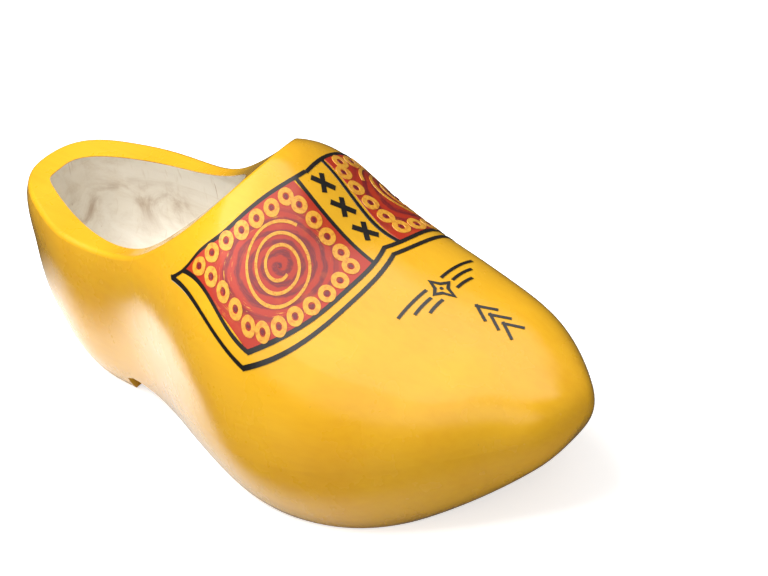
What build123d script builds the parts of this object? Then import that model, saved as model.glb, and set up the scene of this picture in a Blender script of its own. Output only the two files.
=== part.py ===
# Wooden clog for the right foot: one carved block, lacquered outside and on the rim, with painted folk decoration.
# Millimetres. +Z up, standing on z = 0. The toe points to -Y, the heel to +Y, the outer side of the foot to -X.

import os
from math import cos, hypot, pi, radians, sin

from build123d import *

os.makedirs("parts", exist_ok=True)

# overall sizes
length = 300.0
ball_width = 126.0
instep_height = 126.0

# walls of the foot hollow
side_wall = 9.5
heel_wall = 18.0
toe_wall = 32.0
vamp_wall = 10.0
sole_at_heel = 28.0
sole_at_ball = 15.0

# tread and the arch between heel and sole
heel_tread = 74.0
arch_end = 138.0
arch_height = 11.0

# surface layers
coat = 0.5
film = 0.2
rim_round = 2.2

# painted pattern, measured on the surface
line_width = 1.9
thin_line = 1.4
strip_half = 10.0
ring_count = 22
ring_size = 7.9
ring_hole = 3.3
ring_dot = 2.1
spiral_turns = 2.7
spiral_start = 4.8
spiral_end = 17.4
spiral_width = 1.35

along = length / 300.0
wide = ball_width / 126.0
tall = instep_height / 126.0

# One row for each station: distance from the heel, outer side, inner side, underside, ridge, height of the widest
# line, sideways place of the ridge. The underside is below zero where the block is pared flat for the tread.
stations = [
    (1.5, 6, 25, 37, 65, 50, 15),
    (6, 2, 35, 23, 82, 50, 15),
    (15, -6, 43, 8, 92, 50, 14),
    (30, -15, 49, -5, 99, 49, 14),
    (50, -23, 53, -15, 105, 48, 13),
    (75, -26, 52, -17, 110, 45, 13),
    (100, -32, 48, -13, 115, 41, 14),
    (125, -44, 51, -11, 121.5, 38, 20),
    (148, -55, 60.5, -12, 128, 37, 26),
    (172, -63, 61, -14, 118.5, 36, 21),
    (196, -64, 62, -16, 100, 37, 19),
    (220, -58.5, 61, -14, 89, 39, 20),
    (243, -47, 58.5, -5, 79, 41, 23),
    (264, -31.5, 53, 7, 71.5, 43, 23),
    (281, -15.5, 43, 19, 64, 44, 22),
    (292, -4.5, 33.5, 30, 57.5, 45, 21),
    (298.5, 9, 24.5, 41, 51, 46, 20),
]
heel_tip = (16, 50)
toe_tip = (16.5, 46)
roundness = 2.7
instep_roundness = 2.8
# moves the block sideways so that it stands centred on x = 0
centring = 1.0
chine = 0.004

# Rim of the opening seen from the side: distance from the heel, height.
rim = [(-6, 79), (12, 80.5), (35, 79), (58, 78.5), (80, 80.5), (100, 87.5), (118, 99.5), (134, 112.5), (154, 133)]

# Foot hollow: share of the way from its heel end to its toe end, outer and inner side, floor, roof.
hollow = [
    (0.006, 4, 25, 60, 84),
    (0.03, 0, 31, 46, 88),
    (0.08, -6, 37, 36, 93),
    (0.18, -16, 42.5, 30, 97),
    (0.30, -24, 42, 28, 101),
    (0.42, -34, 40.5, 27, 107),
    (0.53, -43, 45, 23, 112),
    (0.64, -51, 50, 17, 105.5),
    (0.75, -51, 51, 15, 86),
    (0.85, -43, 50, 17, 76),
    (0.93, -30, 44, 22, 68),
    (0.98, -14, 36, 30, 59),
]


def back(distance):
    """Y of a point the given distance from the heel."""
    return length / 2 - distance * along


def scaled(row, skin):
    """Sizes of one station with every surface moved in by skin (out if it is negative)."""
    distance, outer, inner, under, ridge, girth, lean = row
    squeeze = 1 - 2 * skin / length
    return (
        150 + (distance - 150) * squeeze,
        (outer + centring) * wide + skin,
        (inner + centring) * wide - skin,
        under * tall + skin,
        ridge * tall - skin,
        girth * tall,
        (lean + centring) * wide,
    )


def cross_section(y, outer, inner, under, ridge, girth, lean):
    """Closed face across the clog: rounded-square quarters that meet on the ridge and the widest line."""
    corner = cos(radians(45)) ** (2 / roundness)
    shoulder = cos(radians(45)) ** (2 / instep_roundness)
    middle = (outer + inner) / 2
    rise = (ridge - girth) * corner
    drop = (under - girth) * corner
    with BuildLine() as outline:
        Spline(
            (outer, y, girth),
            (lean + (outer - lean) * corner, y, girth + rise),
            (lean, y, ridge),
            (lean + (inner - lean) * shoulder, y, girth + (ridge - girth) * shoulder),
            (inner, y, girth),
            tangents=[(chine, 0, 1), (chine, 0, -1)],
            tangent_scalars=[1, 1],
        )
        Spline(
            (inner, y, girth),
            (middle + (inner - middle) * corner, y, girth + drop),
            (middle, y, under),
            (middle + (outer - middle) * corner, y, girth + drop),
            (outer, y, girth),
            tangents=[(-chine, 0, -1), (-chine, 0, 1)],
            tangent_scalars=[1, 1],
        )
    return Face(Wire(outline.edges()))


def hull(skin):
    """The whole outside form before the opening, arch and tread are cut."""
    sections = [Vertex((heel_tip[0] + centring) * wide, length / 2 - skin, heel_tip[1] * tall)]
    for row in stations:
        distance, *sizes = scaled(row, skin)
        sections.append(cross_section(back(distance), *sizes))
    sections.append(Vertex((toe_tip[0] + centring) * wide, skin - length / 2, toe_tip[1] * tall))
    with BuildPart() as form:
        loft(sections=sections, clean=False)
    return form.part


def clog_form(skin):
    """Outside form with the rim, the arch and the flat tread cut."""
    rim_points = [(back(distance), height * tall - skin) for distance, height in rim]
    top = instep_height + 40
    uncut = hull(skin)
    with BuildPart() as form:
        add(uncut)
        with BuildSketch(Plane.YZ.offset(-length)) as above_rim:
            with BuildLine():
                Spline(*rim_points)
                Polyline(rim_points[-1], (back(160), top), (length, top), (length, rim_points[0][1]), rim_points[0])
            make_face()
        extrude(amount=2 * length, mode=Mode.SUBTRACT, clean=False)
        # the rim's outer edge is rubbed round; its inner edge is left crisp
        rim_edges = [edge for edge in form.edges() if edge.length > length]
        rim_edge = max(rim_edges, key=lambda edge: edge.bounding_box().max.Z)
        fillet(rim_edge, radius=rim_round - skin)
        with BuildSketch(Plane.YZ.offset(-length)) as arch:
            with BuildLine():
                Polyline(
                    (back(heel_tread) + skin, -30),
                    (back(heel_tread) + skin, arch_height * 0.75 + skin),
                    (back(heel_tread + 5) + skin, arch_height + skin),
                )
                Spline(
                    (back(heel_tread + 5) + skin, arch_height + skin),
                    (back((heel_tread + arch_end) / 2), arch_height * 0.75 + skin),
                    (back(arch_end) - skin, 0),
                    tangents=[(-1, 0), (-1, -0.3)],
                    tangent_scalars=[1, 1],
                )
                Polyline(
                    (back(arch_end) - skin, 0),
                    (back(arch_end) - skin, -30),
                    (back(heel_tread) + skin, -30),
                )
            make_face()
        extrude(amount=2 * length, mode=Mode.SUBTRACT, clean=False)
        with BuildSketch(Plane.XY):
            Rectangle(2 * length, 2 * length)
        extrude(amount=-100, mode=Mode.SUBTRACT, clean=False)
    return form.part


def foot_hollow():
    """The space the foot goes in, open upwards behind the instep and running on into the toe box."""
    start = heel_wall
    span = 300 - heel_wall - toe_wall
    sections = [Vertex((heel_tip[0] + centring - 2) * wide, back(start), 76 * tall)]
    for share, outer, inner, floor, roof in hollow:
        girth = floor + 0.42 * (roof - floor)
        lean = outer + (inner - outer) * 0.6
        trim = side_wall - 9.5
        sizes = (
            (outer + centring) * wide + trim,
            (inner + centring) * wide - trim,
            (floor + (sole_at_ball - 15 if share > 0.5 else sole_at_heel - 28)) * tall,
            (roof - vamp_wall + 10) * tall,
            girth * tall,
            (lean + centring) * wide,
        )
        sections.append(cross_section(back(start + share * span), *sizes))
    sections.append(Vertex((toe_tip[0] + centring + 2) * wide, back(start + span), 45 * tall))
    with BuildPart() as space:
        loft(sections=sections, clean=False)
    return space.part


# Carved block, bare inside the hollow and under the tread.
cavity = foot_hollow()
carved = clog_form(coat)
with BuildPart() as wood_body:
    add(carved)
    add(cavity, mode=Mode.SUBTRACT, clean=False)
wood_body.part.label = "wood_body"
export_step(wood_body.part, "parts/wood_body.step")

# Lacquer over the outside and the top of the rim.
finished = clog_form(0)
with BuildPart() as lacquer_coat:
    add(finished)
    add(wood_body.part, mode=Mode.SUBTRACT, clean=False)
    add(cavity, mode=Mode.SUBTRACT, clean=False)
lacquer_coat.part.label = "lacquer_coat"
export_step(lacquer_coat.part, "parts/lacquer_coat.step")


def section_at(distance):
    """Section sizes at any distance from the heel, passed smoothly through the four nearest stations."""
    first = 0
    while first < len(stations) - 4 and stations[first + 2][0] < distance:
        first += 1
    near = stations[first : first + 4]
    sizes = []
    for column in range(1, 7):
        value = 0.0
        for row in near:
            weight = 1.0
            for other in near:
                if other is not row:
                    weight *= (distance - other[0]) / (row[0] - other[0])
            value += weight * row[column]
        sizes.append(value)
    outer, inner, under, ridge, girth, lean = sizes
    side = centring * wide
    return outer * wide + side, inner * wide + side, ridge * tall, girth * tall, lean * wide + side


def on_skin(distance, round_to):
    """Surface point: distance from the heel, millimetres round from the ridge line (plus is the outer side)."""
    outer, inner, ridge, girth, lean = section_at(distance)
    half = (outer if round_to > 0 else inner) - lean
    bend = roundness if round_to > 0 else instep_roundness
    travelled = 0.0
    x, z = 0.0, ridge - girth
    for step in range(1, 181):
        turn = radians(90 - step / 2)
        new_x = abs(half) * cos(turn) ** (2 / bend)
        new_z = (ridge - girth) * sin(turn) ** (2 / bend)
        gap = hypot(new_x - x, new_z - z)
        if travelled + gap >= abs(round_to):
            part = (abs(round_to) - travelled) / gap
            x += (new_x - x) * part
            z += (new_z - z) * part
            break
        travelled += gap
        x, z = new_x, new_z
    side = -1 if round_to > 0 else 1
    return Vector(lean + side * x, back(distance), girth + z)


def stretch(distance, round_to):
    """Millimetres of surface for each millimetre of distance from the heel."""
    return (on_skin(distance + 1, round_to) - on_skin(distance - 1, round_to)).length / 2


def drawing_plane(distance, round_to):
    """Plane that touches the surface at a point, for drawing one side of the pattern."""
    here = on_skin(distance, round_to)
    forward = on_skin(distance + 5, round_to) - on_skin(distance - 5, round_to)
    across = on_skin(distance, round_to + 5) - on_skin(distance, round_to - 5)
    out = forward.cross(across)
    if out.Z < 0:
        out = out * -1
    return Plane(origin=here, x_dir=forward, z_dir=out)


def flat(sheet, distance, round_to):
    """Where a point of the pattern falls on a drawing plane."""
    point = sheet.to_local_coords(on_skin(distance, round_to))
    return (point.X, point.Y)


def stroke(sheet, path, width, mode=Mode.ADD):
    """Brush line through the points of a path, drawn inside the current sketch."""
    left = []
    right = []
    last = len(path) - 1
    for i, (distance, round_to) in enumerate(path):
        before = path[max(i - 1, 0)]
        after = path[min(i + 1, last)]
        scale = stretch(distance, round_to)
        run = (after[0] - before[0]) * scale
        rise = after[1] - before[1]
        size = hypot(run, rise)
        step_f = rise / size * width / 2 / scale
        step_v = run / size * width / 2
        left.append(flat(sheet, distance - step_f, round_to + step_v))
        right.append(flat(sheet, distance + step_f, round_to - step_v))
    right.reverse()
    with BuildLine() as outline:
        if last > 1:
            Spline(*left)
            Spline(*right)
        else:
            Line(*left)
            Line(*right)
        Line(left[-1], right[0])
        Line(right[-1], left[0])
    make_face(outline.edges(), mode=mode)


def near_point(distance, round_to, forward, outward):
    """Pattern coordinates of a point given in surface millimetres from another."""
    return (distance + forward / stretch(distance, round_to), round_to + outward)


def disc(sheet, distance, round_to, radius, mode=Mode.ADD):
    """Round spot on the surface, drawn inside the current sketch."""
    rim_points = []
    for k in range(8):
        turn = 2 * pi * k / 8
        spot = near_point(distance, round_to, radius * cos(turn), radius * sin(turn))
        rim_points.append(flat(sheet, *spot))
    with BuildLine() as outline:
        Spline(*rim_points, periodic=True)
    make_face(outline.edges(), mode=mode)


# Pattern paths on the outer side as (distance from the heel, millimetres round from the ridge).
# The inner side is the same pattern mirrored over the ridge.
throat_path = [(165, -6), (163.5, 12), (161, 27), (157.8, 43), (153.5, 55), (147, 64), (140, 71), (131.8, 71.4)]
side_path = [(140, 70.5), (151.5, 74.5), (164.3, 77.4), (184.6, 78.6)]
side_outer_path = [(131.8, 70.9), (145.5, 80), (160, 85.3), (172, 86.4), (184, 85.7)]
front_path = [(184.2, 79), (195, 62.5), (202, 46), (204.5, 28), (204.5, 11), (202, -1)]
front_outer_path = [(183.6, 86.2), (197, 69), (206, 50), (209, 32), (209, 13), (206.5, -1)]
strip_path = [(163, strip_half), (183, strip_half), (204.5, strip_half)]
ring_path = [
    (150.2, 69),
    (156.5, 57),
    (161.8, 45),
    (165.5, 31),
    (167, 17.6),
    (179.7, 16.2),
    (199, 17.4),
    (200.5, 32),
    (197.9, 46),
    (192.5, 60),
    (185.1, 71),
    (172.1, 70),
]
spiral_centre = (181, 42.6)
star_centre = (230, 2)
crosses_at = [171.8, 182.4, 193.2]
cross_arms = [(-36, 6.1), (36, 4.7)]
cross_width = 2.5
chevrons_at = [244, 250.5, 257]
ridge_x = 19.0


def mirrored(path, side):
    """A path on the outer side (side 1) or mirrored to the inner side (side -1)."""
    return [(distance, side * round_to) for distance, round_to in path]


def line_work(sheet, side, mode=Mode.ADD):
    """All the black border lines of one side."""
    for path in (throat_path, side_path, side_outer_path, front_path, front_outer_path, strip_path):
        stroke(sheet, mirrored(path, side), line_width, mode)


def ring_centres(side):
    """Evenly spaced places round the border of one panel."""
    corners = mirrored(ring_path + ring_path[:1], side)
    spans = []
    for a, b in zip(corners, corners[1:]):
        scale = stretch((a[0] + b[0]) / 2, (a[1] + b[1]) / 2)
        spans.append(hypot((b[0] - a[0]) * scale, b[1] - a[1]))
    places = []
    for k in range(ring_count):
        travel = sum(spans) * k / ring_count
        i = 0
        while travel > spans[i]:
            travel -= spans[i]
            i += 1
        share = travel / spans[i]
        a, b = corners[i], corners[i + 1]
        places.append((a[0] + (b[0] - a[0]) * share, a[1] + (b[1] - a[1]) * share))
    return places


def spiral_path(side, grow):
    """One edge of the spiral stroke."""
    steps = 40
    edge = []
    for k in range(steps + 1):
        turn = 2 * pi * spiral_turns * k / steps
        reach = spiral_start + (spiral_end - spiral_start) * k / steps + grow
        edge.append(
            near_point(spiral_centre[0], side * spiral_centre[1], reach * cos(turn), side * reach * sin(turn) * 1.1)
        )
    return edge


def paint_shell(inside, outside):
    """Thin skin over the front half of the clog, between two levels above the lacquer."""
    low = hull(-inside)
    high = hull(-outside)
    with BuildPart() as skin:
        add(high)
        add(low, mode=Mode.SUBTRACT, clean=False)
        with BuildSketch(Plane.XY.offset(25)):
            with Locations((0, back(198))):
                Rectangle(2 * ball_width, 150)
        extrude(amount=200, mode=Mode.INTERSECT, clean=False)
    return skin.part


def half_space(side):
    """Block that keeps one side of the ridge."""
    with BuildPart() as block:
        with BuildSketch(Plane.XY):
            with Locations(((ridge_x + centring) * wide - side * 200, 0)):
                Rectangle(400, 2 * length)
        extrude(amount=300)
    return block.part


def finish(part, name):
    """Name a sub-part and write its file."""
    part.label = name
    export_step(part, f"parts/{name}.step")


first_coat = paint_shell(0, film)
second_coat = paint_shell(film, 2 * film)

for side, word in ((1, "outer"), (-1, "inner")):
    sheet = drawing_plane(180, side * 42)
    keep = half_space(side)

    with BuildPart() as lines:
        add(first_coat)
        with BuildSketch(sheet):
            line_work(sheet, side)
        extrude(amount=32, both=True, mode=Mode.INTERSECT, clean=False)
        add(keep, mode=Mode.INTERSECT, clean=False)
    finish(lines.part, f"line_work_{word}")

    with BuildPart() as panel:
        add(first_coat)
        with BuildSketch(sheet):
            border = throat_path[1:6] + side_path + front_path[:5]
            with BuildLine():
                Polyline(*[flat(sheet, *spot) for spot in mirrored(border, side)], close=True)
            make_face()
            line_work(sheet, side, Mode.SUBTRACT)
        extrude(amount=32, both=True, mode=Mode.INTERSECT, clean=False)
    finish(panel.part, f"red_panel_{word}")

    places = ring_centres(side)
    with BuildPart() as dots:
        add(second_coat)
        with BuildSketch(sheet):
            for place in places + [(spiral_centre[0], side * spiral_centre[1])]:
                disc(sheet, *place, ring_dot / 2)
        extrude(amount=32, both=True, mode=Mode.INTERSECT, clean=False)
    finish(dots.part, f"ring_dots_{word}")

    with BuildPart() as rings:
        add(second_coat)
        with BuildSketch(sheet):
            for place in places:
                disc(sheet, *place, ring_size / 2)
            for place in places:
                disc(sheet, *place, ring_hole / 2, Mode.SUBTRACT)
        extrude(amount=32, both=True, mode=Mode.INTERSECT, clean=False)
    finish(rings.part, f"ring_border_{word}")

    outside_edge = [flat(sheet, *spot) for spot in spiral_path(side, spiral_width / 2)]
    inside_edge = [flat(sheet, *spot) for spot in spiral_path(side, -spiral_width / 2)]
    with BuildPart() as spiral:
        add(second_coat)
        with BuildSketch(sheet):
            with BuildLine():
                Spline(*outside_edge)
                Line(outside_edge[-1], inside_edge[-1])
                Spline(*reversed(inside_edge))
                Line(inside_edge[0], outside_edge[0])
            make_face()
        extrude(amount=32, both=True, mode=Mode.INTERSECT, clean=False)
    finish(spiral.part, f"spiral_{word}")

# Figures on the instep and toe, drawn from above on a plane that touches the ridge.
top_sheet = drawing_plane(215, 0)

with BuildPart() as strip_crosses:
    add(first_coat)
    with BuildSketch(top_sheet):
        for place in crosses_at:
            for turn, arm in cross_arms:
                reach_f = arm * cos(radians(turn))
                reach_v = arm * sin(radians(turn))
                ends = [near_point(place, 0, -reach_f, -reach_v), near_point(place, 0, reach_f, reach_v)]
                stroke(top_sheet, ends, cross_width)
    extrude(amount=40, both=True, mode=Mode.INTERSECT, clean=False)
finish(strip_crosses.part, "strip_crosses")

star_tips = [(-5.5, 0), (0, 5), (6.5, 0), (0, -5)]
star_waist = 1.9


def star_outline_points(grow):
    """Four-pointed figure with hollow sides."""
    outline = []
    for k, (forward, outward) in enumerate(star_tips):
        reach = hypot(forward, outward)
        outline.append((forward * (1 + grow / reach * 1.8), outward * (1 + grow / reach * 1.8)))
        turn = [(-1, 1), (1, 1), (1, -1), (-1, -1)][k]
        outline.append(((star_waist + grow * 0.75) * turn[0], (star_waist + grow * 0.75) * turn[1]))
    return [flat(top_sheet, *near_point(*star_centre, *spot)) for spot in outline]


with BuildPart() as star_outline:
    add(first_coat)
    with BuildSketch(top_sheet):
        with BuildLine():
            Polyline(*star_outline_points(thin_line / 2), close=True)
        make_face()
        with BuildLine():
            Polyline(*star_outline_points(-thin_line / 2), close=True)
        make_face(mode=Mode.SUBTRACT)
    extrude(amount=40, both=True, mode=Mode.INTERSECT, clean=False)
finish(star_outline.part, "star_outline")

with BuildPart() as star_dot:
    add(first_coat)
    with BuildSketch(top_sheet):
        disc(top_sheet, *star_centre, 0.8)
    extrude(amount=40, both=True, mode=Mode.INTERSECT, clean=False)
finish(star_dot.part, "star_dot")

with BuildPart() as star_rays:
    add(first_coat)
    with BuildSketch(top_sheet):
        for side in (1, -1):
            for forward, start, end in ((-3.8, 5.2, 26), (0.2, 7.5, 20), (4.2, 5.0, 15)):
                a = near_point(*star_centre, forward, side * start)
                b = near_point(*star_centre, forward, side * (start + end) / 2)
                c = near_point(*star_centre, forward + 0.6, side * end)
                stroke(top_sheet, [a, b, c], thin_line)
    extrude(amount=40, both=True, mode=Mode.INTERSECT, clean=False)
finish(star_rays.part, "star_rays")

with BuildPart() as toe_chevrons:
    add(first_coat)
    with BuildSketch(top_sheet):
        for place in chevrons_at:
            for side in (1, -1):
                ends = [near_point(place, 0, 0, -side * 0.5), near_point(place, 0, 8.5, side * 4.6)]
                stroke(top_sheet, ends, thin_line)
    extrude(amount=40, both=True, mode=Mode.INTERSECT, clean=False)
finish(toe_chevrons.part, "toe_chevrons")
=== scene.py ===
"""Painted wooden clog: finishes for its carved block, lacquer and brushed ornament, and a studio."""

import math

import bpy
from mathutils import Matrix, Vector

bl_info = {
    "name": "Painted wooden clog",
    "version": (1, 0, 0),
    "blender": (4, 5, 0),
    "location": "3D View > Sidebar > Clog",
    "description": "Lacquer, bare wood and brushed folk ornament for a carved wooden clog",
    "category": "Object",
}

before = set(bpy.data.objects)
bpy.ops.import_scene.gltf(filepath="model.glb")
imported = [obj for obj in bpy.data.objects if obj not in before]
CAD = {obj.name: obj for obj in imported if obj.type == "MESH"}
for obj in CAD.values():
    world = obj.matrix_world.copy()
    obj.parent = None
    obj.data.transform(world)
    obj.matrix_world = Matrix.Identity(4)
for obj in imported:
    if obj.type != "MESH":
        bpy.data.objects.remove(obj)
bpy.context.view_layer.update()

# Half the clog's width and length, in metres, for the reflection of the floor close to it.
HALF_WIDTH = 0.063
HALF_LENGTH = 0.150

# The camera: direction from the clog and roll in degrees, lens in millimetres, distance and aim in metres.
CAMERA_AZIMUTH = -46.19
CAMERA_ELEVATION = 36.51
CAMERA_ROLL = -9.96
CAMERA_LENS = 171.8
CAMERA_DISTANCE = 1.5598
CAMERA_AIM = Vector((0.03248, -0.03615, 0.06114))

# Where each painted panel's swirl is centred, and the panel's own directions, in metres.
SWIRLS = {
    "outer": (
        Vector((-0.0213, -0.0310, 0.1072)),
        Vector((-0.0896, -0.8017, -0.5909)),
        Vector((0.9661, -0.2143, 0.1443)),
        Vector((-0.2423, -0.5579, 0.7937)),
    ),
    "inner": (
        Vector((0.0551, -0.0310, 0.0917)),
        Vector((0.0305, -0.8561, -0.5159)),
        Vector((0.4621, 0.4698, -0.7522)),
        Vector((0.8863, -0.2154, 0.4099)),
    ),
}

BLACK_NODES = (
    "line_work_outer",
    "line_work_inner",
    "strip_crosses",
    "star_outline",
    "star_dot",
    "star_rays",
    "toe_chevrons",
)


# ---------------------------------------------------------------- settings


class LacquerSettings(bpy.types.PropertyGroup):
    """Colour and gloss of the yellow lacquer."""

    yellow: bpy.props.FloatVectorProperty(
        name="Yellow", description="Main colour of the lacquer", subtype="COLOR", size=3,
        default=(0.88, 0.47, 0.012),
    )
    deep: bpy.props.FloatVectorProperty(
        name="Deep yellow", description="Colour where the lacquer lies thicker", subtype="COLOR", size=3,
        default=(0.80, 0.38, 0.006),
    )
    roughness: bpy.props.FloatProperty(
        name="Roughness", description="Blur of the reflections under the clear gloss", subtype="FACTOR",
        default=0.26, min=0.0, max=1.0,
    )
    ripple: bpy.props.FloatProperty(
        name="Ripple", description="Height of the brushed ripple left in the lacquer", unit="LENGTH",
        default=0.00022, min=0.0, max=0.002,
    )


class OrnamentSettings(bpy.types.PropertyGroup):
    """Colours of the brushed ornament."""

    red: bpy.props.FloatVectorProperty(
        name="Red", description="Ground colour of the side panels", subtype="COLOR", size=3,
        default=(0.50, 0.030, 0.008),
    )
    maroon: bpy.props.FloatVectorProperty(
        name="Maroon", description="Dark swirl and the dots in the rings", subtype="COLOR", size=3,
        default=(0.16, 0.010, 0.020),
    )
    gold: bpy.props.FloatVectorProperty(
        name="Gold", description="Rings and swirl strokes", subtype="COLOR", size=3,
        default=(0.86, 0.42, 0.035),
    )
    black: bpy.props.FloatVectorProperty(
        name="Black", description="Line work", subtype="COLOR", size=3, default=(0.010, 0.008, 0.007)
    )
    swirl_step: bpy.props.FloatProperty(
        name="Swirl step", description="Distance between one turn of the swirl and the next", unit="LENGTH",
        default=0.0046, min=0.001, max=0.02,
    )


class WoodSettings(bpy.types.PropertyGroup):
    """Colours of the bare wood."""

    pale: bpy.props.FloatVectorProperty(
        name="Pale wood", description="Clean bare wood", subtype="COLOR", size=3,
        default=(0.90, 0.85, 0.75),
    )
    grey: bpy.props.FloatVectorProperty(
        name="Grey wood", description="Darker grain lines", subtype="COLOR", size=3,
        default=(0.76, 0.68, 0.56),
    )
    stain: bpy.props.FloatVectorProperty(
        name="Stain", description="Brown marks left by wear", subtype="COLOR", size=3,
        default=(0.42, 0.29, 0.19),
    )


class StudioSettings(bpy.types.PropertyGroup):
    """Floor, lights and camera."""

    floor_size: bpy.props.FloatProperty(
        name="Floor size", description="Side of the square floor", unit="LENGTH",
        default=8.0, min=1.0, max=40.0,
    )
    key: bpy.props.FloatProperty(
        name="Overhead light", description="Power of the soft light overhead", unit="POWER",
        default=36.0, min=0.0,
    )
    fill: bpy.props.FloatProperty(
        name="Fill light", description="Power of the soft light beside the camera", unit="POWER",
        default=4.0, min=0.0,
    )
    floor_shine: bpy.props.FloatProperty(
        name="Floor shine", description="How bright the far floor looks in the gloss", default=0.1, min=0.0
    )
    box_shine: bpy.props.FloatProperty(
        name="Softbox shine", description="How bright the softbox looks in the gloss", default=1.6, min=0.0
    )


# ---------------------------------------------------------------- node tools


def feed(tree, value, socket):
    """Joins an output to a socket, or sets the socket's own value."""
    if isinstance(value, bpy.types.NodeSocket):
        tree.links.new(value, socket)
    else:
        socket.default_value = value


def start_material(name):
    """An empty material with its shader joined up."""
    material = bpy.data.materials.new(name)
    material.use_nodes = True
    tree = material.node_tree
    tree.nodes.clear()
    shader = tree.nodes.new("ShaderNodeBsdfPrincipled")
    output = tree.nodes.new("ShaderNodeOutputMaterial")
    tree.links.new(shader.outputs["BSDF"], output.inputs["Surface"])
    return material, tree, shader


def place_of(tree):
    """Position on the piece."""
    return tree.nodes.new("ShaderNodeTexCoord").outputs["Object"]


def mapped(tree, vector, scale=(1, 1, 1), location=(0, 0, 0), rotation=(0, 0, 0), kind="POINT"):
    node = tree.nodes.new("ShaderNodeMapping")
    node.vector_type = kind
    feed(tree, vector, node.inputs["Vector"])
    node.inputs["Location"].default_value = location
    node.inputs["Rotation"].default_value = rotation
    node.inputs["Scale"].default_value = scale
    return node.outputs["Vector"]


def noise(tree, vector, scale, detail=3.0, rough=0.5, bend=0.0):
    node = tree.nodes.new("ShaderNodeTexNoise")
    feed(tree, vector, node.inputs["Vector"])
    node.inputs["Scale"].default_value = scale
    node.inputs["Detail"].default_value = detail
    node.inputs["Roughness"].default_value = rough
    node.inputs["Distortion"].default_value = bend
    return node.outputs["Fac"]


def maths(tree, operation, first, second=0.0):
    node = tree.nodes.new("ShaderNodeMath")
    node.operation = operation
    feed(tree, first, node.inputs[0])
    feed(tree, second, node.inputs[1])
    return node.outputs[0]


def span(tree, value, low, high, to_low=0.0, to_high=1.0):
    """Maps a range of a value onto another, with soft ends."""
    node = tree.nodes.new("ShaderNodeMapRange")
    node.interpolation_type = "SMOOTHSTEP"
    feed(tree, value, node.inputs["Value"])
    feed(tree, low, node.inputs["From Min"])
    feed(tree, high, node.inputs["From Max"])
    node.inputs["To Min"].default_value = to_low
    node.inputs["To Max"].default_value = to_high
    return node.outputs["Result"]


def blend(tree, share, first, second):
    """Colour between first and second."""
    node = tree.nodes.new("ShaderNodeMix")
    node.data_type = "RGBA"
    feed(tree, share, node.inputs["Factor"])
    for value, socket in ((first, node.inputs[6]), (second, node.inputs[7])):
        feed(tree, value if isinstance(value, bpy.types.NodeSocket) else (*value, 1.0), socket)
    return node.outputs[2]


def raise_surface(tree, height, strength, distance, under=None):
    node = tree.nodes.new("ShaderNodeBump")
    feed(tree, height, node.inputs["Height"])
    node.inputs["Strength"].default_value = strength
    node.inputs["Distance"].default_value = distance
    if under is not None:
        tree.links.new(under, node.inputs["Normal"])
    return node.outputs["Normal"]


def split(tree, vector):
    node = tree.nodes.new("ShaderNodeSeparateXYZ")
    feed(tree, vector, node.inputs[0])
    return node.outputs


def gloss(tree, shader, roughness):
    """Clear hard gloss over a colour."""
    feed(tree, roughness, shader.inputs["Roughness"])
    shader.inputs["IOR"].default_value = 1.5
    shader.inputs["Coat Weight"].default_value = 1.0
    shader.inputs["Coat Roughness"].default_value = 0.07
    shader.inputs["Coat IOR"].default_value = 1.5


def brushed_relief(tree, shader, place, ripple):
    """The slow waves and fine brush lines that every painted surface shares."""
    waves = noise(tree, mapped(tree, place, scale=(1, 0.55, 1)), 42.0, 2.0, 0.45)
    lines = noise(tree, mapped(tree, place, scale=(1, 0.10, 1)), 900.0, 2.0, 0.6)
    first = raise_surface(tree, waves, 0.30, ripple * 3)
    both = raise_surface(tree, lines, 0.10, ripple * 0.35, first)
    tree.links.new(both, shader.inputs["Normal"])
    tree.links.new(first, shader.inputs["Coat Normal"])


def show_as(names, material):
    """Gives CAD nodes a material."""
    for name in names:
        node = CAD[name]
        node.data.materials.clear()
        node.data.materials.append(material)


# ---------------------------------------------------------------- operators


class CLOG_OT_lacquer(bpy.types.Operator):
    """Finish the yellow lacquered outside and rim"""

    bl_idname = "clog.lacquer"
    bl_label = "Yellow lacquer"

    def execute(self, context):
        look = context.scene.clog_lacquer
        material, tree, shader = start_material("yellow_lacquer")
        place = place_of(tree)
        patches = noise(tree, place, 22.0, 3.0, 0.5)
        strokes = noise(tree, mapped(tree, place, scale=(1, 0.08, 1)), 420.0, 2.0, 0.5)
        thick = span(tree, patches, 0.35, 0.75, 0.0, 0.55)
        drawn = span(tree, strokes, 0.3, 0.8, 0.0, 0.30)
        share = maths(tree, "ADD", thick, drawn)
        colour = blend(tree, share, look.yellow, look.deep)
        specks = noise(tree, place, 900.0, 1.0, 0.5)
        dust = span(tree, specks, 0.80, 0.84, 0.0, 0.35)
        colour = blend(tree, dust, colour, (0.35, 0.16, 0.01))
        tree.links.new(colour, shader.inputs["Base Color"])
        cloud = noise(tree, place, 30.0, 4.0, 0.6)
        gloss(tree, shader, span(tree, cloud, 0.3, 0.7, look.roughness - 0.05, look.roughness + 0.07))
        brushed_relief(tree, shader, place, look.ripple)
        show_as(["lacquer_coat"], material)
        return {"FINISHED"}


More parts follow.
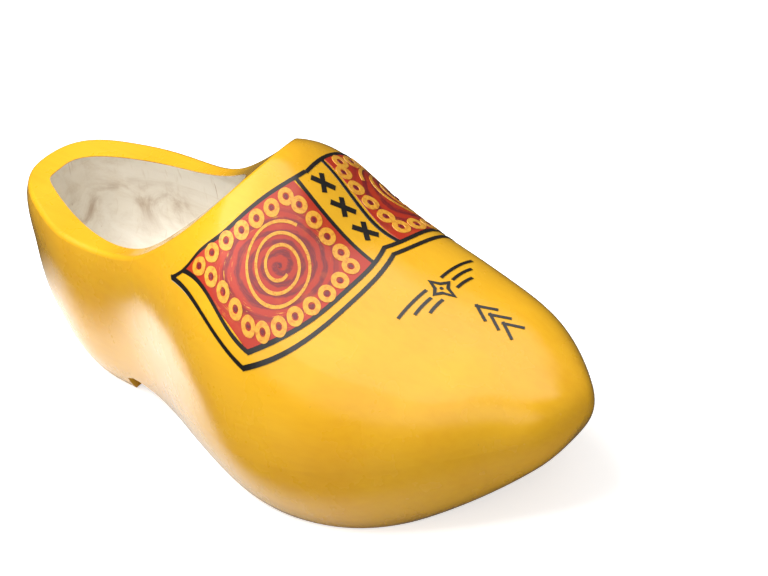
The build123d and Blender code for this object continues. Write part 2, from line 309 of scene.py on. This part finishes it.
class CLOG_OT_bare_wood(bpy.types.Operator):
    """Finish the bare wood of the hollow and the treads"""

    bl_idname = "clog.bare_wood"
    bl_label = "Bare wood"

    def execute(self, context):
        look = context.scene.clog_wood
        material, tree, shader = start_material("bare_wood")
        place = place_of(tree)
        along_grain = mapped(tree, place, scale=(1, 0.07, 1))
        broad = noise(tree, along_grain, 130.0, 4.0, 0.6, 0.6)
        fine = noise(tree, along_grain, 900.0, 3.0, 0.7)
        grain = maths(tree, "MULTIPLY", span(tree, broad, 0.35, 0.75), span(tree, fine, 0.25, 0.8, 0.35, 1.0))
        colour = blend(tree, grain, look.pale, look.grey)
        cuts = noise(tree, mapped(tree, place, scale=(0.10, 1, 0.18)), 520.0, 2.0, 0.6)
        colour = blend(tree, span(tree, cuts, 0.58, 0.74, 0.0, 0.55), colour, look.grey)
        cracks = noise(tree, mapped(tree, place, scale=(0.6, 1.0, 0.05)), 330.0, 2.0, 0.7, 0.4)
        colour = blend(tree, span(tree, cracks, 0.70, 0.76, 0.0, 0.7), colour, look.stain)
        x, y, z = split(tree, place)
        near_heel = span(tree, y, 0.045, 0.105)
        low = span(tree, maths(tree, "ABSOLUTE", maths(tree, "SUBTRACT", z, 0.054)), 0.020, 0.0)
        cloud = span(tree, noise(tree, place, 48.0, 5.0, 0.65, 0.8), 0.42, 0.70)
        dirt = maths(tree, "MULTIPLY", maths(tree, "MULTIPLY", near_heel, low), cloud)
        colour = blend(tree, maths(tree, "MULTIPLY", dirt, 0.75), colour, look.stain)
        smudge = span(tree, noise(tree, place, 26.0, 4.0, 0.6), 0.55, 0.80, 0.0, 0.30)
        colour = blend(tree, smudge, colour, look.grey)
        tree.links.new(colour, shader.inputs["Base Color"])
        feed(tree, span(tree, fine, 0.2, 0.8, 0.62, 0.82), shader.inputs["Roughness"])
        shader.inputs["Specular IOR Level"].default_value = 0.3
        gouges = noise(tree, mapped(tree, place, scale=(1, 0.5, 1)), 95.0, 1.5, 0.4)
        first = raise_surface(tree, gouges, 0.5, 0.0012)
        second = raise_surface(tree, maths(tree, "ADD", fine, cuts), 0.35, 0.0003, first)
        tree.links.new(second, shader.inputs["Normal"])
        show_as(["wood_body"], material)
        return {"FINISHED"}


def swirl_angles(side):
    """Turn that takes the piece's axes onto the panel's own."""
    centre, along, across, out = SWIRLS[side]
    turn = Matrix((along, across, out)).transposed()
    return centre, turn.to_euler("XYZ")


def swirl_parts(tree, place, side):
    """Distance from the middle of the swirl and the angle round it."""
    centre, angles = swirl_angles(side)
    local = mapped(tree, place, location=centre, rotation=angles, kind="TEXTURE")
    x, y, z = split(tree, local)
    y = maths(tree, "DIVIDE", y, 1.1)
    square = maths(tree, "ADD", maths(tree, "MULTIPLY", x, x), maths(tree, "MULTIPLY", y, y))
    reach = maths(tree, "SQRT", square)
    return reach, maths(tree, "ARCTAN2", y, x)


class CLOG_OT_red_panels(bpy.types.Operator):
    """Paint the red side panels with their dark and golden swirl"""

    bl_idname = "clog.red_panels"
    bl_label = "Red panels"

    def execute(self, context):
        look = context.scene.clog_ornament
        relief = context.scene.clog_lacquer.ripple
        for side in SWIRLS:
            hand = 1.0 if side == "outer" else -1.0
            material, tree, shader = start_material(f"red_panel_{side}")
            place = place_of(tree)
            reach, angle = swirl_parts(tree, place, side)
            wobble = noise(tree, place, 90.0, 3.0, 0.6)
            turned = maths(tree, "MULTIPLY", angle, hand / (2 * math.pi))
            turns = maths(tree, "SUBTRACT", maths(tree, "DIVIDE", reach, look.swirl_step), turned)
            turns = maths(tree, "ADD", turns, maths(tree, "MULTIPLY", wobble, 0.9))
            wave = maths(tree, "SINE", maths(tree, "MULTIPLY", turns, 2 * math.pi))
            around = tree.nodes.new("ShaderNodeCombineXYZ")
            feed(tree, maths(tree, "MULTIPLY", reach, 1400.0), around.inputs[0])
            feed(tree, maths(tree, "MULTIPLY", angle, 2.2), around.inputs[1])
            hairs = noise(tree, around.outputs[0], 1.0, 3.0, 0.65, 0.3)
            inside = span(tree, reach, 0.027, 0.019)
            dark = maths(tree, "MULTIPLY", span(tree, wave, -0.5, 0.7), span(tree, hairs, 0.20, 0.55))
            dark = maths(tree, "MULTIPLY", maths(tree, "MULTIPLY", dark, inside), 0.85)
            colour = blend(tree, dark, look.red, look.maroon)
            warm = noise(tree, place, 120.0, 3.0, 0.6)
            colour = blend(tree, span(tree, warm, 0.5, 0.8, 0.0, 0.5), colour, (0.60, 0.09, 0.010))
            stroke = maths(tree, "MULTIPLY", span(tree, hairs, 0.57, 0.66), span(tree, reach, 0.017, 0.020))
            stroke = maths(tree, "MULTIPLY", stroke, span(tree, reach, 0.027, 0.024))
            broken = span(tree, noise(tree, place, 260.0, 3.0, 0.7), 0.42, 0.60)
            arcs = span(tree, noise(tree, place, 38.0, 1.0, 0.4), 0.45, 0.60)
            stroke = maths(tree, "MULTIPLY", maths(tree, "MULTIPLY", stroke, broken), arcs)
            colour = blend(tree, maths(tree, "MULTIPLY", stroke, 0.9), colour, look.gold)
            tree.links.new(colour, shader.inputs["Base Color"])
            gloss(tree, shader, 0.28)
            brushed_relief(tree, shader, place, relief)
            show_as([f"red_panel_{side}"], material)
        return {"FINISHED"}


class CLOG_OT_golden_strokes(bpy.types.Operator):
    """Paint the rings and the swirl strokes"""

    bl_idname = "clog.golden_strokes"
    bl_label = "Rings and swirls"

    def execute(self, context):
        look = context.scene.clog_ornament
        relief = context.scene.clog_lacquer.ripple
        for name, loss in (("golden_rings", 0.35), ("golden_swirls", 0.75)):
            material, tree, shader = start_material(name)
            place = place_of(tree)
            mottle = noise(tree, place, 620.0, 3.0, 0.65)
            colour = blend(tree, span(tree, mottle, 0.42, 0.72, 0.0, 0.85), look.gold, (0.66, 0.20, 0.020))
            worn = noise(tree, place, 1100.0, 2.0, 0.7)
            colour = blend(tree, span(tree, worn, 0.60, 0.72, 0.0, loss), colour, look.red)
            tree.links.new(colour, shader.inputs["Base Color"])
            gloss(tree, shader, 0.28)
            brushed_relief(tree, shader, place, relief)
            nodes = ["ring_border_outer", "ring_border_inner"]
            if name == "golden_swirls":
                nodes = ["spiral_outer", "spiral_inner"]
            show_as(nodes, material)
        return {"FINISHED"}


class CLOG_OT_dots(bpy.types.Operator):
    """Paint the dark dots in the rings"""

    bl_idname = "clog.dots"
    bl_label = "Dots in the rings"

    def execute(self, context):
        look = context.scene.clog_ornament
        material, tree, shader = start_material("maroon_dots")
        place = place_of(tree)
        mottle = noise(tree, place, 700.0, 3.0, 0.6)
        colour = blend(tree, span(tree, mottle, 0.45, 0.75, 0.0, 0.9), look.maroon, look.red)
        tree.links.new(colour, shader.inputs["Base Color"])
        gloss(tree, shader, 0.28)
        brushed_relief(tree, shader, place, context.scene.clog_lacquer.ripple)
        show_as(["ring_dots_outer", "ring_dots_inner"], material)
        return {"FINISHED"}


class CLOG_OT_line_work(bpy.types.Operator):
    """Paint the black lines, crosses, star and chevrons"""

    bl_idname = "clog.line_work"
    bl_label = "Black line work"

    def execute(self, context):
        look = context.scene.clog_ornament
        material, tree, shader = start_material("black_line_work")
        place = place_of(tree)
        mottle = noise(tree, place, 500.0, 3.0, 0.6)
        colour = blend(tree, span(tree, mottle, 0.5, 0.85, 0.0, 0.5), look.black, (0.045, 0.030, 0.018))
        tree.links.new(colour, shader.inputs["Base Color"])
        gloss(tree, shader, 0.30)
        brushed_relief(tree, shader, place, context.scene.clog_lacquer.ripple)
        show_as(BLACK_NODES, material)
        return {"FINISHED"}


def soft_light(name, size, power, spot, aim):
    """A square soft light that colours the object and stays out of its reflections."""
    data = bpy.data.lights.new(name, "AREA")
    data.shape = "SQUARE"
    data.size = size
    data.energy = power
    lamp = bpy.data.objects.new(name, data)
    bpy.context.scene.collection.objects.link(lamp)
    lamp.location = spot
    lamp.rotation_mode = "QUATERNION"
    lamp.rotation_quaternion = (Vector(aim) - Vector(spot)).to_track_quat("-Z", "Y")
    lamp.visible_glossy = False
    return lamp


class CLOG_OT_studio(bpy.types.Operator):
    """Set up the floor, soft lights and camera"""

    bl_idname = "clog.studio"
    bl_label = "Studio"

    def execute(self, context):
        look = context.scene.clog_studio
        self.floor(look)
        self.surroundings(context, look)
        soft_light("overhead_light", 1.3, look.key, (-0.35, 0.55, 1.45), (0.0, 0.0, 0.05))
        soft_light("front_light", 1.2, look.fill, (-1.1, -1.0, 0.9), (0.0, 0.0, 0.05))
        self.camera(context)
        context.scene.view_settings.view_transform = "Standard"
        return {"FINISHED"}

    def floor(self, look):
        bpy.ops.object.select_all(action="DESELECT")
        bpy.ops.mesh.primitive_plane_add(size=look.floor_size, location=(0, 0, -0.0002))
        floor = bpy.context.active_object
        floor.name = "studio_floor"
        material = bpy.data.materials.new("pale_floor")
        material.use_nodes = True
        tree = material.node_tree
        tree.nodes.clear()
        matt = tree.nodes.new("ShaderNodeBsdfDiffuse")
        matt.inputs["Color"].default_value = (0.80, 0.80, 0.80, 1)
        glow = tree.nodes.new("ShaderNodeEmission")
        glow.inputs["Strength"].default_value = 0.62
        lit = tree.nodes.new("ShaderNodeAddShader")
        tree.links.new(matt.outputs[0], lit.inputs[0])
        tree.links.new(glow.outputs[0], lit.inputs[1])
        plain = tree.nodes.new("ShaderNodeBsdfDiffuse")
        plain.inputs["Color"].default_value = (0.50, 0.50, 0.50, 1)
        x, y, z = split(tree, place_of(tree))
        wide = maths(tree, "POWER", maths(tree, "DIVIDE", x, HALF_WIDTH), 2.0)
        long = maths(tree, "POWER", maths(tree, "DIVIDE", y, HALF_LENGTH), 2.0)
        away = maths(tree, "SQRT", maths(tree, "ADD", wide, long))
        # The floor as only the gloss sees it: a painted reflection, bright close to the clog and dark further
        # out.
        painted_reflection = tree.nodes.new("ShaderNodeBsdfDiffuse")
        # Painted reflection of light on the floor: strongest under the heel, and fading out under the toe as
        # painted shadow.
        painted_floor_light = maths(tree, "MULTIPLY", span(tree, away, 1.38, 0.98), span(tree, y, -0.13, -0.05, 0.15, 0.62))
        painted_floor_light = maths(tree, "MULTIPLY", painted_floor_light, span(tree, y, 0.03, 0.11, 1.0, 1.6))
        colour = blend(tree, painted_floor_light, (0.03, 0.03, 0.03), (0.92, 0.92, 0.92))
        tree.links.new(colour, painted_reflection.inputs["Color"])
        path = tree.nodes.new("ShaderNodeLightPath")
        mirrored = tree.nodes.new("ShaderNodeMixShader")
        tree.links.new(path.outputs["Is Glossy Ray"], mirrored.inputs[0])
        tree.links.new(plain.outputs[0], mirrored.inputs[1])
        tree.links.new(painted_reflection.outputs[0], mirrored.inputs[2])
        seen = tree.nodes.new("ShaderNodeMixShader")
        tree.links.new(path.outputs["Is Camera Ray"], seen.inputs[0])
        tree.links.new(mirrored.outputs[0], seen.inputs[1])
        tree.links.new(lit.outputs[0], seen.inputs[2])
        output = tree.nodes.new("ShaderNodeOutputMaterial")
        tree.links.new(seen.outputs[0], output.inputs["Surface"])
        floor.data.materials.append(material)

    def surroundings(self, context, look):
        world = bpy.data.worlds.new("studio")
        context.scene.world = world
        world.use_nodes = True
        tree = world.node_tree
        tree.nodes.clear()
        way = tree.nodes.new("ShaderNodeTexCoord").outputs["Generated"]
        x, y, z = split(tree, way)
        over = maths(tree, "MULTIPLY", span(tree, z, 0.66, 0.76), span(tree, y, -0.66, -0.46))
        beside = maths(tree, "MULTIPLY", span(tree, z, 0.20, 0.46), span(tree, x, -0.10, -0.50))
        box = maths(tree, "MAXIMUM", over, maths(tree, "MULTIPLY", beside, 0.55))
        box = maths(tree, "MULTIPLY", box, look.box_shine)
        mid = span(tree, z, 0.02, 0.60, 0.06, 0.12)
        shine = maths(tree, "ADD", box, mid)
        shine = maths(tree, "ADD", shine, span(tree, z, 0.0, -0.02, 0.0, look.floor_shine))
        path = tree.nodes.new("ShaderNodeLightPath")
        strength = maths(tree, "MULTIPLY", path.outputs["Is Glossy Ray"], shine)
        others = maths(tree, "SUBTRACT", 1.0, path.outputs["Is Glossy Ray"])
        camera_ray = path.outputs["Is Camera Ray"]
        room = maths(tree, "ADD", maths(tree, "MULTIPLY", camera_ray, 0.50), 0.55)
        strength = maths(tree, "ADD", strength, maths(tree, "MULTIPLY", others, room))
        background = tree.nodes.new("ShaderNodeBackground")
        feed(tree, strength, background.inputs["Strength"])
        output = tree.nodes.new("ShaderNodeOutputWorld")
        tree.links.new(background.outputs[0], output.inputs["Surface"])

    def camera(self, context):
        azimuth, elevation = math.radians(CAMERA_AZIMUTH), math.radians(CAMERA_ELEVATION)
        roll = math.radians(CAMERA_ROLL)
        back = Vector(
            (
                math.sin(azimuth) * math.cos(elevation),
                -math.cos(azimuth) * math.cos(elevation),
                math.sin(elevation),
            )
        )
        right = Vector((math.cos(azimuth), math.sin(azimuth), 0.0))
        up = back.cross(right)
        tilted_right = right * math.cos(roll) + up * math.sin(roll)
        tilted_up = up * math.cos(roll) - right * math.sin(roll)
        data = bpy.data.cameras.new("camera")
        data.sensor_width = 36.0
        data.lens = CAMERA_LENS
        data.clip_start, data.clip_end = 0.05, 50.0
        camera = bpy.data.objects.new("camera", data)
        context.scene.collection.objects.link(camera)
        spot = CAMERA_AIM + back * CAMERA_DISTANCE
        turn = Matrix((tilted_right, tilted_up, back)).transposed().to_4x4()
        camera.matrix_world = Matrix.Translation(spot) @ turn
        context.scene.camera = camera


class CLOG_PT_panel(bpy.types.Panel):
    """Lists the clog's finishes"""

    bl_label = "Painted clog"
    bl_idname = "CLOG_PT_panel"
    bl_space_type = "VIEW_3D"
    bl_region_type = "UI"
    bl_category = "Clog"

    def draw(self, context):
        scene = context.scene
        for title, group in (
            ("Lacquer", scene.clog_lacquer),
            ("Ornament", scene.clog_ornament),
            ("Bare wood", scene.clog_wood),
            ("Studio", scene.clog_studio),
        ):
            box = self.layout.box()
            box.label(text=title)
            for name in group.__annotations__:
                box.prop(group, name)
        for operator in OPERATORS:
            self.layout.operator(operator.bl_idname)


SETTINGS = {
    "clog_lacquer": LacquerSettings,
    "clog_ornament": OrnamentSettings,
    "clog_wood": WoodSettings,
    "clog_studio": StudioSettings,
}
OPERATORS = (
    CLOG_OT_bare_wood,
    CLOG_OT_lacquer,
    CLOG_OT_red_panels,
    CLOG_OT_golden_strokes,
    CLOG_OT_dots,
    CLOG_OT_line_work,
    CLOG_OT_studio,
)


def register():
    for cls in (*SETTINGS.values(), *OPERATORS, CLOG_PT_panel):
        bpy.utils.register_class(cls)
    for name, group in SETTINGS.items():
        setattr(bpy.types.Scene, name, bpy.props.PointerProperty(type=group))


def unregister():
    for name in SETTINGS:
        delattr(bpy.types.Scene, name)
    for cls in reversed((*SETTINGS.values(), *OPERATORS, CLOG_PT_panel)):
        bpy.utils.unregister_class(cls)


def main():
    register()
    bpy.ops.clog.bare_wood()
    bpy.ops.clog.lacquer()
    bpy.ops.clog.red_panels()
    bpy.ops.clog.golden_strokes()
    bpy.ops.clog.dots()
    bpy.ops.clog.line_work()
    bpy.ops.clog.studio()


if __name__ == "__main__":
    main()
